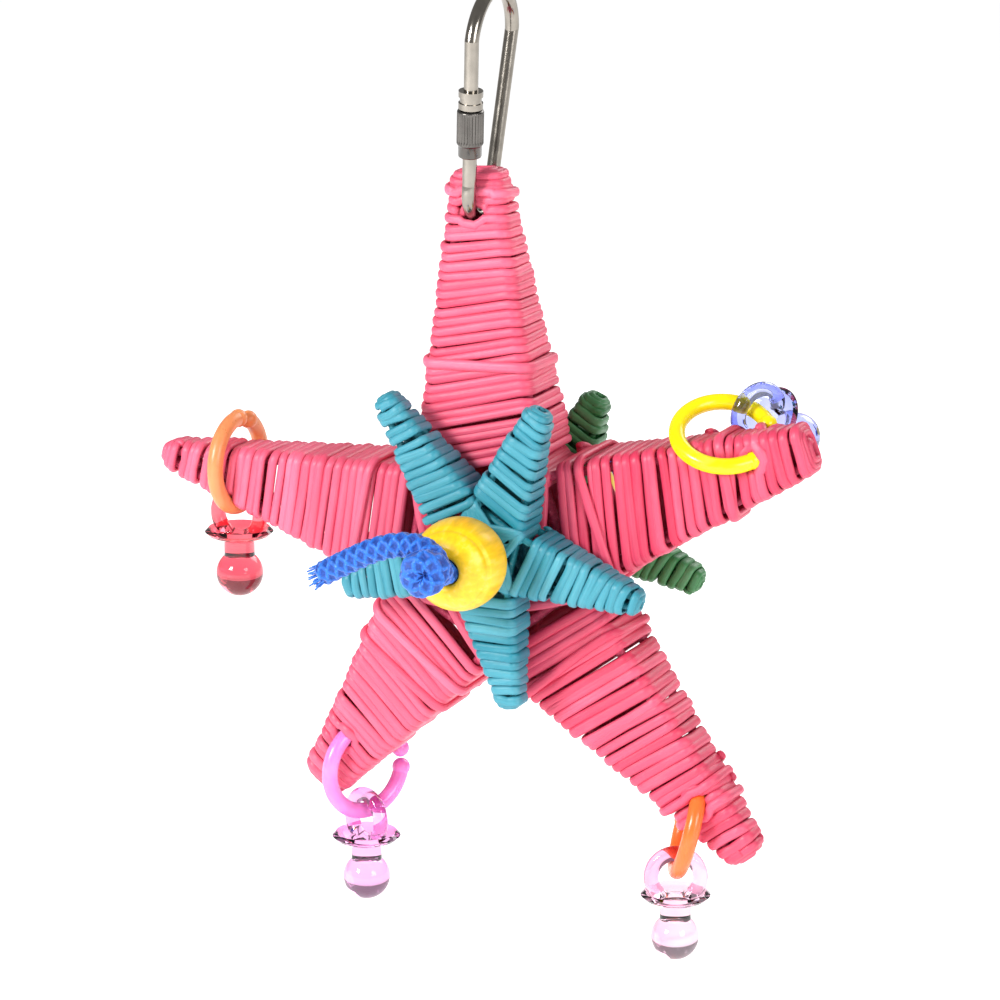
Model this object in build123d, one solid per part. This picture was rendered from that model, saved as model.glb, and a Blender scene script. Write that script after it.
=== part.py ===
from build123d import *
import math
import os

# Hanging star toy: three stars wound from split vine, threaded on one rope, hung from a quick link.
# Millimetres. +Z is up, the stars face -Y, and the origin is the inner top of the link's bow.

# ---- quick link
WIRE_R = 1.75
LINK_TOP_R = 13.0          # bow radii to the wire's centre line
LINK_BOTTOM_R = 7.5
LINK_LENGTH = 55.6         # top to bottom, wire centre to wire centre
LINK_TILT = 4.7            # degrees, the link leans so that the eye is left of the hang point
COLLAR_R = 3.0
COLLAR_LENGTH = 4.4
COLLAR_START = 12.4        # collar's start along the gate leg, from its top end
NUT_R = 3.25
NUT_NECK_R = 2.85
NUT_LENGTH = 12.0
NUT_NECK_LENGTH = 3.0
NUT_BORE_R = 1.82
NUT_GAP = 0.3              # clear gap between collar and nut
GATE_GAP = 4.2             # gap in the wire that the nut closes

# ---- large star
STAR_CENTRE = (1.7, -136.1)                    # X, Z
STAR_ANGLES = [21.4, 93.4, 170.6, 233.2, 310.6]
STAR_LENGTHS = [86.0, 94.0, 90.0, 81.0, 97.0]
STAR_NAMES = ["right", "top", "left", "lower_left", "lower_right"]
# sideways places of an arm's two stick pairs at its tip, counter-clockwise positive
STAR_TIPS = [(-2.4, 3.6), (-3.6, 3.6), (-1.9, 0.8), (-2.3, 3.8), (1.0, 5.0)]
STAR_STICK_R = 1.2
STAR_CROSS_RADIUS = 24.3   # where the sticks of one set cross each other
STAR_CROSS_DEPTH = 8.2
STAR_STRAND = 1.5          # thickness of the wound strand
STAR_BASE = 24.5           # the winding's inner end, from the star's centre
STAR_END = 1.5             # stick ends stand out of the winding this far

# ---- small stars
SMALL_ANGLES = [68.5, 127.5, 200.0, 279.5, 345.5]
SMALL_LENGTHS = [37.0, 43.5, 39.0, 39.5, 40.5]
REAR_ANGLES = [66.0, 134.0, 206.0, 278.0, 340.0]
REAR_LENGTHS = [32.5, 38.0, 38.0, 38.0, 43.0]
SMALL_STICK_R = 0.9
SMALL_CROSS_RADIUS = 10.6
SMALL_CROSS_DEPTH = 4.0
SMALL_STRAND = 1.3
SMALL_BASE = 14.5
SMALL_END = 1.0
SMALL_TIP = 1.0
SMALL_PLANE = 20.0         # distance of a small star's middle from the large star's

HUB_THICK = 1.4            # crossing strands over a star's middle
STAR_HUB_R = 19.5
SMALL_HUB_R = 6.9
STICK_BEND = 12            # bend radius over stick radius, where sticks cross

STICK_GAP = 0.3            # clear gap between two sticks that cross
STICK_CLEAR = 0.1          # winding to stick

# ---- rope, beads and knots
ROPE_X = 6.0
ROPE_Z = -131.1
ROPE_R = 3.0
FIXED_CLEAR = 0.1          # rope to the large star, which it does not turn in
TURN_CLEAR = 0.25          # rope to what turns on it
BEAD_R = 11.3
BEAD_LENGTH = 19.0
BEAD_CENTRE = 37.6         # bead centres, in front of and behind the large star
KNOT_R = 6.6
KNOT_LENGTH = 9.6
KNOT_CENTRE = 52.4
TAIL_BEND = 0.45           # part of the greatest bend radius that a tail's corner allows

# ---- rings and charms
RING_R = 11.3
RING_TUBE_R = 2.0
RING_BALL_R = 2.3
RING_ROOM = 0.45           # room left for a ring in a winding
CHARM_HANDLE_R = 6.1
CHARM_HANDLE_TUBE_R = 1.9
CHARM_SHIELD_AT = 5.8      # from the handle's centre
CHARM_SHIELD_R = 8.7
CHARM_SHIELD_THICK = 1.9
CHARM_SHIELD_DISH = 1.3
CHARM_TEAT_AT = 15.4
CHARM_TEAT_R = 6.0
CHARM_NECK_R = 3.9

os.makedirs("parts", exist_ok=True)


def write(name, shape):
    """Write one sub-part."""
    export_step(shape, "parts/" + name + ".step")


def star_point(centre, angle, along, side, depth):
    """A point given along an arm, sideways from it and in depth."""
    a = math.radians(angle)
    x = centre[0] + along * math.cos(a) - side * math.sin(a)
    z = centre[1] + along * math.sin(a) + side * math.cos(a)
    return Vector(x, depth, z)


def rod(points, radius, bend):
    """A round rod along straight runs joined by arcs."""
    path = FilletPolyline(*points, radius=bend)
    start = path.edges()[0]
    section = Plane(origin=start @ 0, z_dir=start % 0) * Circle(radius)
    return sweep(section, path=path)


# ------------------------------------------------------------------ stars

class Star:
    """One wound star: two sets of five sticks, five wound arms."""

    def __init__(self, centre, middle, angles, lengths, tips, sizes):
        self.centre = centre
        self.middle = middle
        self.angles = angles
        self.lengths = lengths
        self.tips = tips
        self.stick_r, self.cross_r, self.cross_depth, self.strand, self.base, self.end = sizes
        self.over = self.stick_r + STICK_GAP / 2
        self.tip_depth = self.stick_r + STICK_GAP / 2

    def cross(self, k, side, depth):
        """Where the sticks cross between arm k and the next one."""
        a = self.angles[k % 5]
        b = self.angles[(k + 1) % 5]
        step = (b - a) % 360
        return star_point(self.centre, a + step / 2, self.cross_r, 0, self.middle + side * depth)

    def stick(self, k, side):
        """Stick k runs from arm k to the next arm but one."""
        far = (k + 2) % 5
        start = star_point(self.centre, self.angles[k], self.lengths[k], self.tips[k][1],
                           self.middle + side * self.tip_depth)
        end = star_point(self.centre, self.angles[far], self.lengths[far], self.tips[far][0],
                         self.middle + side * self.tip_depth)
        first = self.cross(k, side, self.cross_depth + self.over)
        second = self.cross(k + 1, side, self.cross_depth - self.over)
        return rod([start, first, second, end], self.stick_r, STICK_BEND * self.stick_r)

    def frame(self, side):
        return Compound(children=[self.stick(k, side) for k in range(5)])

    def corners(self, k, along):
        """The sideways places of arm k's sticks, and their greatest depth, at a distance from the centre."""
        here = self.lengths[k]
        low, high = self.tips[k]
        places = []
        depths = []
        for neighbour, tip, sign in ((k, high, 1), (k - 1, low, -1)):
            step = (self.angles[(neighbour + 1) % 5] - self.angles[neighbour % 5]) % 360
            half = math.radians(step / 2)
            cross_along = self.cross_r * math.cos(half)
            cross_side = sign * self.cross_r * math.sin(half)
            part = (here - along) / (here - cross_along)
            places.append(tip + part * (cross_side - tip))
            depths.append(self.tip_depth + part * (self.cross_depth + self.over - self.tip_depth))
        return places[1], places[0], max(depths)

    def section(self, k, along, wall):
        """A rounded rectangle round arm k's sticks."""
        low, high, depth = self.corners(k, along)
        radius = self.stick_r + STICK_CLEAR + wall
        width = high - low + 2 * radius
        height = 2 * (depth + radius)
        origin = star_point(self.centre, self.angles[k], along, (high + low) / 2, self.middle)
        outward = Vector(math.cos(math.radians(self.angles[k])), 0, math.sin(math.radians(self.angles[k])))
        plane = Plane(origin=origin, x_dir=(0, 1, 0), z_dir=outward)
        return plane * RectangleRounded(height, width, radius * 0.999)

    def wrap(self, k):
        """The winding of one arm, as a hollow shell."""
        outer_end = self.lengths[k] - self.end
        outer = loft([self.section(k, self.base, self.strand), self.section(k, outer_end, self.strand)],
                     ruled=True)
        inner = loft([self.section(k, self.base - 1, 0), self.section(k, outer_end + 1, 0)], ruled=True)
        return outer - inner


def hub(centre, across, thick, depth, hole_at, hole_r):
    """Crossing strands over a star's middle, as a five-sided plate with a hole for the rope."""
    place = Plane(origin=(centre[0], depth, centre[1]), x_dir=(1, 0, 0), z_dir=(0, -1, 0))
    plate = place * extrude(RegularPolygon(across, 5), thick / 2, both=True)
    drill = Plane(origin=(hole_at[0], depth, hole_at[1]), z_dir=(0, -1, 0))
    return plate - drill * Cylinder(hole_r, 4 * thick)


large_sizes = (STAR_STICK_R, STAR_CROSS_RADIUS, STAR_CROSS_DEPTH, STAR_STRAND, STAR_BASE, STAR_END)
small_sizes = (SMALL_STICK_R, SMALL_CROSS_RADIUS, SMALL_CROSS_DEPTH, SMALL_STRAND, SMALL_BASE, SMALL_END)
small_tips = [(-SMALL_TIP, SMALL_TIP)] * 5
rope_at = (ROPE_X, ROPE_Z)

large = Star(STAR_CENTRE, 0, STAR_ANGLES, STAR_LENGTHS, STAR_TIPS, large_sizes)
front = Star(rope_at, -SMALL_PLANE, SMALL_ANGLES, SMALL_LENGTHS, small_tips, small_sizes)
rear = Star(rope_at, SMALL_PLANE, REAR_ANGLES, REAR_LENGTHS, small_tips, small_sizes)


# ------------------------------------------------------------------ quick link

eye_drop = LINK_LENGTH - WIRE_R
EYE = Vector(-eye_drop * math.sin(math.radians(LINK_TILT)), 0, -eye_drop * math.cos(math.radians(LINK_TILT)))


def link_parts():
    """The bent wire with its collar and gate gap, and the sleeve nut, upright."""
    top_z = WIRE_R - LINK_TOP_R
    bottom_z = WIRE_R - LINK_LENGTH + LINK_BOTTOM_R
    slope = math.asin((LINK_TOP_R - LINK_BOTTOM_R) / (top_z - bottom_z))
    cos_s, sin_s = math.cos(slope), math.sin(slope)
    front_top = Vector(0, -LINK_TOP_R * cos_s, top_z + LINK_TOP_R * sin_s)
    front_low = Vector(0, -LINK_BOTTOM_R * cos_s, bottom_z + LINK_BOTTOM_R * sin_s)
    back_top = Vector(0, -front_top.Y, front_top.Z)
    back_low = Vector(0, -front_low.Y, front_low.Z)
    bow = ThreePointArc(front_top, Vector(0, 0, WIRE_R), back_top)
    back_leg = Line(back_top, back_low)
    foot = ThreePointArc(back_low, Vector(0, 0, WIRE_R - LINK_LENGTH), front_low)
    front_leg = Line(front_low, front_top)
    down = (front_low - front_top).normalized()

    nut_top = front_top + down * (COLLAR_START + COLLAR_LENGTH + NUT_GAP)
    gap_top = nut_top + down * (NUT_LENGTH - GATE_GAP) / 2
    gap_low = gap_top + down * GATE_GAP
    upper = Line(gap_top, front_top) + bow + back_leg + foot + Line(front_low, gap_low)
    start = Plane(origin=gap_top, z_dir=-down)
    body = sweep(start * Circle(WIRE_R), path=upper)

    collar_at = Plane(origin=front_top + down * COLLAR_START, z_dir=down)
    third = COLLAR_LENGTH / 3
    for index, radius in enumerate((COLLAR_R, COLLAR_R - 0.35, COLLAR_R)):
        body += collar_at.offset(index * third) * Cylinder(
            radius, third, align=(Align.CENTER, Align.CENTER, Align.MIN))

    nut_at = Plane(origin=nut_top, z_dir=down)
    sleeve = nut_at * Cylinder(NUT_R, NUT_LENGTH - NUT_NECK_LENGTH, align=(Align.CENTER, Align.CENTER, Align.MIN))
    sleeve += nut_at * Cylinder(NUT_NECK_R, NUT_LENGTH, align=(Align.CENTER, Align.CENTER, Align.MIN))
    sleeve -= nut_at.offset(-1) * Cylinder(NUT_BORE_R, NUT_LENGTH + 2, align=(Align.CENTER, Align.CENTER, Align.MIN))
    turn = Rot(0, LINK_TILT, 0)
    return turn * body, turn * sleeve


link_body, link_nut = link_parts()
write("link_body", link_body)
write("link_nut", link_nut)


# ------------------------------------------------------------------ rings

class Ring:
    """A round C-shaped ring: centre, two directions in its plane, and the angles between which it is open."""

    def __init__(self, centre, across, up, gap_start, gap_end):
        self.centre = Vector(*centre)
        self.across = Vector(*across).normalized()
        up = Vector(*up)
        self.up = (up - self.across * up.dot(self.across)).normalized()
        self.gap = (gap_start, gap_end)

    def point(self, angle):
        a = math.radians(angle)
        return self.centre + (self.across * math.cos(a) + self.up * math.sin(a)) * RING_R

    def tangent(self, angle):
        a = math.radians(angle)
        return self.up * math.cos(a) - self.across * math.sin(a)

    def solid(self, extra=0.0):
        start, end = self.gap[1], self.gap[0] + 360
        middle = (start + end) / 2
        path = ThreePointArc(self.point(start), self.point(middle), self.point(end))
        section = Plane(origin=self.point(start), z_dir=self.tangent(start)) * Circle(RING_TUBE_R + extra)
        body = sweep(section, path=path)
        for angle in self.gap:
            body += Pos(*self.point(angle)) * Sphere(RING_BALL_R + extra)
        return body


RINGS = {
    "right": Ring((59.4, 0.0, -102.7), (0.927, 0.375, 0), (-0.323, 0.799, 0.507), -54, 18),
    "left": Ring((-70.0, 0.0, -121.3), (0.094, 0.9956, 0), (0, 0, 1), 62, 88),
    "lower_left": Ring((-35.4, 0.0, -197.9), (0.498, 0.867, 0), (0, 0, 1), -10, 16),
    "lower_right": Ring((51.2, 0.0, -203.0), (-0.375, 0.927, 0.0), (0.132, 0.307, 0.942), -10, 16),
}

# hinge of each ring: a point and a direction, with its range in degrees
RING_HINGES = {
    "right": (RINGS["right"].point(-54), RINGS["right"].point(18) - RINGS["right"].point(-54), 0, 20),
    "left": (RINGS["left"].point(-90), RINGS["left"].tangent(-90), -8, 8),
    "lower_left": (RINGS["lower_left"].point(90), RINGS["lower_left"].tangent(90), 0, 6),
    "lower_right": (RINGS["lower_right"].point(90), RINGS["lower_right"].tangent(90), -14, 0),
}
CHARM_AT = {"right": 48, "left": -90, "lower_left": -90, "lower_right": -90}
CHARM_AXIS = {"right": (0.38, 0.76, -0.52), "left": (0, 0, -1), "lower_left": (0, 0, -1), "lower_right": (0, 0, -1)}
# gap between a ring and the handle that hangs on it, where the ring goes through aslant
CHARM_HANG = {"right": 0.4, "left": 0.1, "lower_left": 0.1, "lower_right": 0.1}


def charm(ring, angle, axis, gap):
    """A dummy charm that hangs on a ring: handle, dished shield, neck and teat, in one piece."""
    down = Vector(*axis).normalized()
    tangent = ring.tangent(angle)
    facing = (tangent - down * tangent.dot(down)).normalized()
    reach = RING_TUBE_R + CHARM_HANDLE_TUBE_R + gap
    centre = ring.point(angle) + down * (CHARM_HANDLE_R - reach)
    place = Plane(origin=centre, x_dir=facing, z_dir=-down)
    handle = place * Rot(0, 90, 0) * Torus(CHARM_HANDLE_R, CHARM_HANDLE_TUBE_R)
    s, t, r = CHARM_SHIELD_AT, CHARM_SHIELD_THICK, CHARM_SHIELD_R
    profile = Polyline(
        (0, -s + t / 2), (r * 0.55, -s + t / 2), (r - 0.9, -s + t / 2 + CHARM_SHIELD_DISH),
        (r, -s + CHARM_SHIELD_DISH), (r - 0.9, -s - t / 2 + CHARM_SHIELD_DISH),
        (r * 0.55, -s - t / 2), (CHARM_NECK_R, -s - t / 2), (CHARM_NECK_R, -CHARM_TEAT_AT + 1),
        (0, -CHARM_TEAT_AT + 1), close=True)
    shield = revolve(Plane.XZ * make_face(profile), Axis.Z)
    teat = Pos(0, 0, -CHARM_TEAT_AT) * Sphere(CHARM_TEAT_R)
    return handle + place * (shield + teat)


charms = {}
for name, ring in RINGS.items():
    charms[name] = charm(ring, CHARM_AT[name], CHARM_AXIS[name], CHARM_HANG[name])
    write("ring_" + name, ring.solid())
    write("charm_" + name, charms[name])


def turned(shape, point, direction, degrees):
    """A shape turned about an axis through a point."""
    return shape.rotate(Axis(tuple(point), tuple(direction)), degrees)


def ring_room(name):
    """The room that a ring sweeps through as it moves, with clearance."""
    point, direction, low, high = RING_HINGES[name]
    steps = 3
    solid = RINGS[name].solid(RING_ROOM)
    return [turned(solid, point, direction, low + (high - low) * i / (steps - 1)) for i in range(steps)]


# ------------------------------------------------------------------ large star

write("pink_frame_front", large.frame(-1))
write("pink_frame_back", large.frame(1))
for k, name in enumerate(STAR_NAMES):
    shell = large.wrap(k)
    if name == "top":
        shell -= Pos(EYE.X, 0, EYE.Z + 0.6) * Box(6.2, 40, 5.6)
        for side in (-1, 1):
            shell -= Pos(EYE.X, side * 6.5, EYE.Z + 3.2) * Box(7.4, 7, 11)
    if name == "left":
        low = RINGS["left"].point(-90)
        shell -= Pos(low.X, 0, low.Z + 1) * Box(21, 2 * CHARM_HANDLE_TUBE_R + 2.2, 14)
    if name in RINGS:
        for room in ring_room(name):
            shell -= room
    if name == "right":
        for step in (0.3, 0.9):
            shell -= Pos(0, -step, 0) * charms[name]
    write("pink_wrap_" + name, shell)

for side, word in ((-1, "front"), (1, "back")):
    plate = hub(STAR_CENTRE, STAR_HUB_R, HUB_THICK, side * STAR_CROSS_DEPTH, rope_at, ROPE_R + FIXED_CLEAR)
    write("pink_hub_" + word, plate)

# ------------------------------------------------------------------ small stars

for star, colour in ((front, "teal"), (rear, "green")):
    write(colour + "_frame_front", star.frame(-1))
    write(colour + "_frame_back", star.frame(1))
    for k in range(5):
        write(colour + "_wrap_" + str(k + 1), star.wrap(k))
    for side, word in ((-1, "front"), (1, "back")):
        depth = star.middle + side * SMALL_CROSS_DEPTH
        write(colour + "_hub_" + word, hub(rope_at, SMALL_HUB_R, HUB_THICK, depth, rope_at, ROPE_R + TURN_CLEAR))


# ------------------------------------------------------------------ rope, beads and knots

def bead(middle):
    """A turned bead: round sides, flat ends and a through bore."""
    body = Sphere(BEAD_R) & Cylinder(BEAD_R + 1, BEAD_LENGTH)
    body -= Cylinder(ROPE_R + TURN_CLEAR, BEAD_LENGTH + 2)
    return Plane(origin=(ROPE_X, middle, ROPE_Z), z_dir=(0, -1, 0)) * body


def knot(middle):
    """The outer shape of the overhand knot."""
    body = Sphere(KNOT_R)
    body = scale(body, (1, 1, KNOT_LENGTH / 2 / KNOT_R))
    return Plane(origin=(ROPE_X, middle, ROPE_Z), z_dir=(0, -1, 0)) * body


# routes of the two rope tails, from the knot outwards
FRONT_TAIL = [(0.6, -52.4, -124.6), (-6.4, -54.2, -123.6), (-14.6, -54.9, -127.6), (-22.4, -54.4, -132.6)]
BACK_TAIL = [(9.6, 52.4, -136.6), (12.6, 54.0, -143.4), (12.0, 54.6, -151.2), (9.4, 54.2, -158.6)]


def tail(points):
    """A rope tail: straight runs joined by arcs as large as the runs allow."""
    spots = [Vector(*p) for p in points]
    radii = []
    for before, here, after in zip(spots, spots[1:], spots[2:]):
        turn = (here - before).get_angle(after - here)
        shorter = min((here - before).length, (after - here).length)
        radii.append(TAIL_BEND * shorter / math.tan(math.radians(turn / 2)))
    path = FilletPolyline(*spots, radius=radii)
    start = path.edges()[0]
    body = sweep(Plane(origin=start @ 0, z_dir=start % 0) * Circle(ROPE_R), path=path)
    print("tail radii", [round(r, 1) for r in radii], "length", round(path.length, 1),
          "volume over section times length", round(body.volume / (math.pi * ROPE_R ** 2 * path.length), 4))
    return body


write("bead_front", bead(-BEAD_CENTRE))
write("bead_back", bead(BEAD_CENTRE))
knots = {"front": knot(-KNOT_CENTRE), "back": knot(KNOT_CENTRE)}
rope = Plane(origin=(ROPE_X, 0, ROPE_Z), z_dir=(0, -1, 0)) * Cylinder(ROPE_R, 2 * KNOT_CENTRE)
for word, points in (("front", FRONT_TAIL), ("back", BACK_TAIL)):
    rope -= knots[word]
    write("knot_" + word, knots[word])
    write("tail_" + word, tail(points) - knots[word])
write("rope", rope)
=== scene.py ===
"""Hanging star toy: wound vine stars, rope, beads, rings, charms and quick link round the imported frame."""
import math

import bpy
import bmesh
import numpy as np
from bpy.props import FloatProperty, FloatVectorProperty, IntProperty, PointerProperty
from bpy.types import Operator, Panel, PropertyGroup
from mathutils import Matrix, Vector


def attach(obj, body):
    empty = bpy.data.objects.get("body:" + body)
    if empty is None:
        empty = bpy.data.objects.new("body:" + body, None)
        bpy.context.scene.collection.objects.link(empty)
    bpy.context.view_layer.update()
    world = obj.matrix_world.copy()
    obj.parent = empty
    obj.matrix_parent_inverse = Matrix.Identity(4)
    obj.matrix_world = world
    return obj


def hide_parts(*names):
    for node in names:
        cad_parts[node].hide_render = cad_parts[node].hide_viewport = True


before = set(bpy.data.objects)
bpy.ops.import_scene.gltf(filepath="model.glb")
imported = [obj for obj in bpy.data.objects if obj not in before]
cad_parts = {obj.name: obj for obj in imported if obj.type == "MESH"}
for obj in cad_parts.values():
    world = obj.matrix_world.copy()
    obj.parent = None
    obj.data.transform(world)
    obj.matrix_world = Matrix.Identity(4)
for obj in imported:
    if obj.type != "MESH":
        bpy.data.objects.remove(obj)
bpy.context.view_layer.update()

bl_info = {
    "name": "Wound star toy",
    "version": (1, 0, 0),
    "blender": (4, 5, 0),
    "location": "3D View > Sidebar > Star toy",
    "description": "Winds the stars and finishes every piece of the hanging star toy",
    "category": "Add Mesh",
}

MM = 0.001
DEPTH_WAY = np.array([0.0, 1.0, 0.0])
SEED = 7

# the stick cages that the strands are wound on, in millimetres and degrees
LARGE = {
    "centre": (1.7, -136.1), "middle": 0.0,
    "angles": [21.4, 93.4, 170.6, 233.2, 310.6],
    "lengths": [86.0, 94.0, 90.0, 81.0, 97.0],
    "tips": [(-2.4, 3.6), (-3.6, 3.6), (-1.9, 0.8), (-2.3, 3.8), (1.0, 5.0)],
    "stick": 1.2, "cross": 24.3, "depth": 8.2,
}
FRONT = {
    "centre": (6.0, -131.1), "middle": -20.0,
    "angles": [68.5, 127.5, 200.0, 279.5, 345.5],
    "lengths": [37.0, 43.5, 39.0, 39.5, 40.5],
    "tips": [(-1.0, 1.0)] * 5,
    "stick": 0.9, "cross": 10.6, "depth": 4.0,
}
REAR = dict(
    FRONT, middle=20.0,
    angles=[66.0, 134.0, 206.0, 278.0, 340.0],
    lengths=[32.5, 38.0, 38.0, 38.0, 43.0],
)
ARM_NAMES = ["right", "top", "left", "lower_left", "lower_right"]

# rings: centre, two directions in the plane
RINGS = {
    "right": ((59.4, 0.0, -102.7), (0.927, 0.375, 0.0), (-0.323, 0.799, 0.507)),
    "left": ((-70.0, 0.0, -121.3), (0.094, 0.9956, 0.0), (0.0, 0.0, 1.0)),
    "lower_left": ((-35.4, 0.0, -197.9), (0.498, 0.867, 0.0), (0.0, 0.0, 1.0)),
    "lower_right": ((51.2, 0.0, -203.0), (-0.375, 0.927, 0.0), (0.132, 0.307, 0.942)),
}
RING_R = 11.3
RING_WIRE_R = 2.0
# the quick link's wire, the round of its foot and its legs, and the swings that the strands leave room for
LINK_WIRE_R = 1.75
LINK_LEAN = 4.7
LINK_DEPTH = 55.6
FOOT_R = 7.5
LEG_Y = 7.6
LEG_Z = -46.35
LEG_RUN = 12
LEG_SPLAY = 0.157
LINK_SWINGS = (-30.0, -15.0, 0.0, 15.0, 30.0)
# room between a strand and a ring or the link, between a strand and its stick, and past a stick at the tip
STRAND_ROOM = 0.35
STICK_ROOM = 0.1
TIP_ROOM = 0.15
# where the winding starts, and how far short of the arm's length it stops
LARGE_START, LARGE_STOP = 21.6, 1.4
SMALL_START, SMALL_STOP = 10.8, 1.0
SMALL_THICK = 1.25
SMALL_PITCH = 2.3
# the sleeve nut's upper end and the way its axis runs
NUT_TOP = (-2.14, -10.285, -26.03)
NUT_AXIS = (-0.081019, 0.149356, -0.985459)
NUT_FLUTES = 26
NUT_R, NUT_COLLAR_R, NUT_BORE_R = 3.28, 2.85, 1.84
NUT_LENGTH = 12.0
GRIP_START, GRIP_END, GRIP_FADE = 0.5, 8.4, 0.5
FLUTE_DEPTH = 0.30
# turns laid slantwise over the others: where each starts and how far it runs along the arm
OVER_TURNS = {
    "right": [(26.0, 9.0), (61.0, 7.0)],
    "top": [(44.0, 6.0), (86.5, 4.5)],
    "left": [(30.0, 6.0)],
    "lower_left": [(27.0, 8.0), (36.0, 6.0)],
    "lower_right": [(30.0, 7.0), (74.0, 5.0), (80.0, 4.0)],
}
# how far the drawn-in tip stands past the last turn, then each arm's tone, spacing and slant of turns; the
# tone is painted shade on the right-hand arms and painted light on the left-hand arms, for a light from the
# left
TIP_REACH = {"right": 1.6, "top": 1.2, "left": 4.5, "lower_left": 2.4, "lower_right": 2.0}
ARM_SIDE_LIGHT_SHADE_TONES = {"right": 0.33, "top": 0.62, "left": 0.72, "lower_left": 0.66, "lower_right": 0.38}
SPACINGS = {"right": 1.05, "top": 0.96, "left": 1.02, "lower_left": 1.02, "lower_right": 1.12}
SLANTS = {"right": 7.0, "top": -6.0, "left": -1.0, "lower_left": 5.0, "lower_right": 3.0}

# the rope and the beads that it passes, in millimetres
ROPE_R = 3.0
ROPE_X, ROPE_Z = 6.0, -131.1
ROPE_HALF = 48.0
BEAD_Y = 37.6
BEAD_R, BEAD_HALF = 11.3, 9.2

# camera angles in degrees, its distance and the width that it sees, and where it aims, in metres
AZIMUTH, ELEVATION = 22, 14
CAMERA_DISTANCE, CAMERA_SPAN = 1.05, 0.24
AIM_RIGHT, AIM_UP = 0.0012, -0.12096
SENSOR = 36
# lights: name, place, size in metres and power in watts
LIGHTS = (
    ("key", (-0.50, -0.95, 0.40), 0.35, 15.0),
    ("fill", (0.95, -0.55, 0.25), 0.5, 6.0),
    ("rim", (0.3, 0.9, 0.5), 0.6, 5.0),
)
LIGHT_AIM = (0, 0, -0.13)
FLOOR_HALF, FLOOR_Z = 30.0, -0.262

# rope ends, from the bead's face through the knot to the bare end, in metres
FRONT_ROUTE = [
    (0.0060, -0.0476, -0.1311), (0.0060, -0.0500, -0.1306), (0.0078, -0.0532, -0.1290),
    (0.0074, -0.0562, -0.1262), (0.0040, -0.0578, -0.1258), (0.0022, -0.0584, -0.1282),
    (0.0032, -0.0578, -0.1316), (0.0062, -0.0568, -0.1318), (0.0080, -0.0550, -0.1286),
    (0.0060, -0.0532, -0.1250), (0.0004, -0.0530, -0.1230), (-0.0066, -0.0544, -0.1240),
    (-0.0146, -0.0552, -0.1278), (-0.0228, -0.0544, -0.1326),
]
BACK_ROUTE = [
    (0.0060, 0.0476, -0.1311), (0.0056, 0.0506, -0.1300), (0.0036, 0.0536, -0.1272),
    (0.0050, 0.0566, -0.1246), (0.0092, 0.0582, -0.1258), (0.0100, 0.0584, -0.1306),
    (0.0078, 0.0576, -0.1342), (0.0034, 0.0562, -0.1332), (0.0026, 0.0540, -0.1290),
    (0.0066, 0.0524, -0.1290), (0.0102, 0.0526, -0.1352), (0.0126, 0.0540, -0.1434),
    (0.0120, 0.0546, -0.1512), (0.0094, 0.0542, -0.1586),
]


# ------------------------------------------------------------------ settings

class StarToyWinding(PropertyGroup):
    """Sizes of the wound strand."""
    width: FloatProperty(
        name="Strand width", description="Width of the large star's strand", default=0.00245, unit="LENGTH")
    thick: FloatProperty(
        name="Strand thickness", description="Thickness of the large strand", default=0.0017, unit="LENGTH")
    pitch: FloatProperty(
        name="Turn spacing", description="Distance from one turn to the next", default=0.0023, unit="LENGTH")
    small_width: FloatProperty(
        name="Small strand width", description="Width of the small strands", default=0.0024, unit="LENGTH")
    unevenness: FloatProperty(
        name="Unevenness", description="How far the turns wander", default=0.5, min=0.0, max=1.0)
    seed: IntProperty(name="Seed", description="Start of the random draws", default=SEED)


class StarToyColours(PropertyGroup):
    """Colours of the pieces."""
    pink: FloatVectorProperty(name="Pink vine", description="Dye of the large star", subtype="COLOR",
                              default=(0.90, 0.062, 0.175))
    teal: FloatVectorProperty(name="Teal vine", description="Dye of the front star", subtype="COLOR",
                              default=(0.0, 0.31, 0.41))
    green: FloatVectorProperty(name="Green vine", description="Dye of the rear star", subtype="COLOR",
                               default=(0.006, 0.21, 0.030))
    bead: FloatVectorProperty(name="Bead yellow", description="Paint of the beads", subtype="COLOR",
                              default=(0.93, 0.58, 0.0))
    rope: FloatVectorProperty(name="Rope blue", description="Colour of the rope", subtype="COLOR",
                              default=(0.010, 0.19, 0.82))


class StarToySettings(PropertyGroup):
    """All settings of the toy."""
    winding: PointerProperty(type=StarToyWinding)
    colours: PointerProperty(type=StarToyColours)


def settings():
    return bpy.context.scene.star_toy


# ------------------------------------------------------------------ mesh helpers

def unit(vectors):
    """Each vector divided by its own length."""
    return vectors / np.maximum(np.linalg.norm(vectors, axis=-1, keepdims=True), 1e-12)


def grid_faces(rows, columns, close_rows=False):
    """Quads of a grid whose columns close on themselves, numbered row by row."""
    last = rows if close_rows else rows - 1
    row = np.arange(last)[:, None]
    column = np.arange(columns)[None, :]
    after = (column + 1) % columns
    below = (row + 1) % rows
    here, under = row * columns, below * columns
    quads = np.stack([here + column, here + after, under + after, under + column], axis=-1)
    return quads.reshape(-1, 4)


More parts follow.
